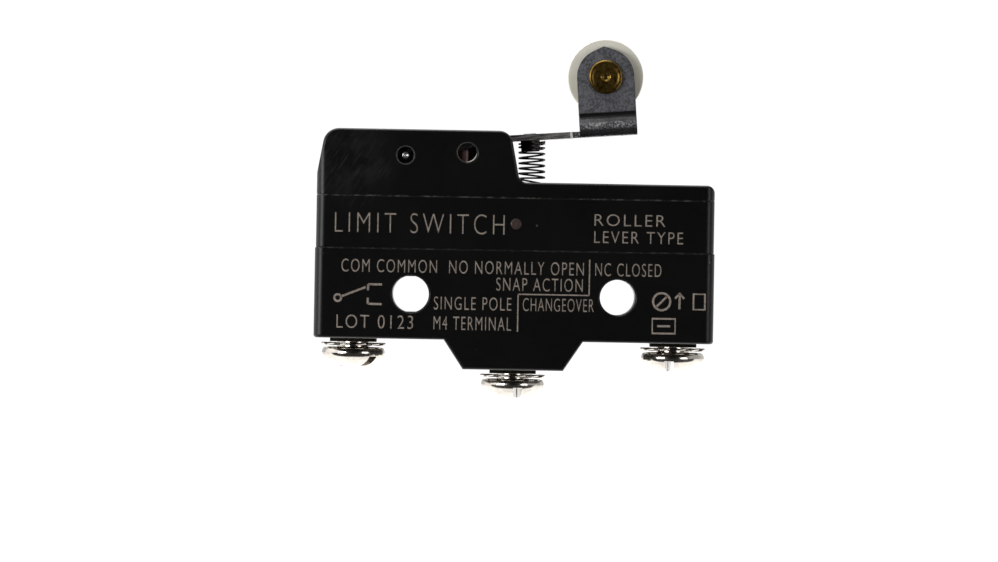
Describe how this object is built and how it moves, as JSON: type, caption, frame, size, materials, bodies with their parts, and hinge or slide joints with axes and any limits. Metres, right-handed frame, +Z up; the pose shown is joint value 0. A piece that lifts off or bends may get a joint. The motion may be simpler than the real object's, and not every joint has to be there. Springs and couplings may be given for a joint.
{
  "type": "limit switch",
  "caption": "Snap-action limit switch with a hinged roller lever, a lever return spring, screw terminals and two through holes for mounting.",
  "frame": {"origin": "midway between the two mounting holes, at half the body's thickness", "axes": "+X along the body towards the roller, +Y through the thickness away from the printed face, +Z up towards the roller"},
  "size_m": [0.049, 0.0174, 0.0444],
  "materials": {
    "phenolic": "near-black moulded phenolic, faint satin, fine moulding texture",
    "steel_pin": "bright turned steel pin",
    "blackened_steel": "blackened pressed steel, brighter on its sheared edges",
    "dark_steel": "dark oiled steel",
    "nylon": "off-white moulded polyamide, slightly translucent",
    "brass_rivet": "dull brass rivet with a worn rim",
    "spring_steel": "dark spring wire",
    "red_phenolic": "reddish brown moulded phenolic",
    "terminal_brass": "pressed brass strip",
    "silver": "silver alloy contact",
    "beryllium_copper": "rolled copper alloy spring strip",
    "nickel_plate": "nickel plated steel"
  },
  "bodies": {
    "body": {"case_base": "phenolic", "case_middle": "phenolic", "actuator_housing": "phenolic", "hinge_pin": "steel_pin", "return_spring": "spring_steel", "terminal_com": "terminal_brass", "terminal_no": "terminal_brass", "terminal_nc": "terminal_brass", "no_contact": "silver", "nc_contact": "silver", "blade_root": "beryllium_copper", "clamp_plate": "terminal_brass", "clamp_rivet": "terminal_brass", "tongue_post": "terminal_brass", "terminal_screws": "nickel_plate", "toothed_washers": "nickel_plate"},
    "lever_body": {"lever": "blackened_steel", "spring_seat": "dark_steel", "roller_axle": "brass_rivet"},
    "roller_body": {"roller": "nylon"},
    "plunger_body": {"plunger": "red_phenolic"},
    "blade_body": {"contact_blade": "beryllium_copper", "snap_tongue": "beryllium_copper", "moving_contact": "silver"},
    "leaf_body": {"drive_leaf": "beryllium_copper"}
  },
  "joints": [
    {"name": "lever_hinge", "type": "hinge", "parent": "body", "child": "lever_body", "pos_m": [-0.01358, 0, 0.017], "axis": [0, 1, 0], "range_deg": [0, 9], "stiffness_Nm_per_rad": 0.02, "springref_deg": -45.84, "deforming": ["return_spring"]},
    {"name": "roller_spin", "type": "hinge", "parent": "lever_body", "child": "roller_body", "pos_m": [0.0108, 0, 0.0271], "axis": [0, 1, 0], "continuous": true},
    {"name": "plunger_slide", "type": "slide", "parent": "body", "child": "plunger_body", "axis": [0, 0, 1], "range_m": [-0.00098, 0]},
    {"name": "blade_flex", "type": "hinge", "parent": "body", "child": "blade_body", "pos_m": [-0.0166, 0, 0.007], "axis": [0, 1, 0], "range_deg": [0, 0.9]},
    {"name": "leaf_flex", "type": "hinge", "parent": "body", "child": "leaf_body", "pos_m": [-0.0166, 0, 0.007], "axis": [0, 1, 0], "range_deg": [0, 6.2]}
  ],
  "couplings": [
    {"joint": "plunger_slide", "follows": "lever_hinge", "m_per_rad": -0.0061752},
    {"joint": "blade_flex", "follows": "lever_hinge", "ratio": 0.097778},
    {"joint": "leaf_flex", "follows": "lever_hinge", "ratio": 0.67901}
  ]
}
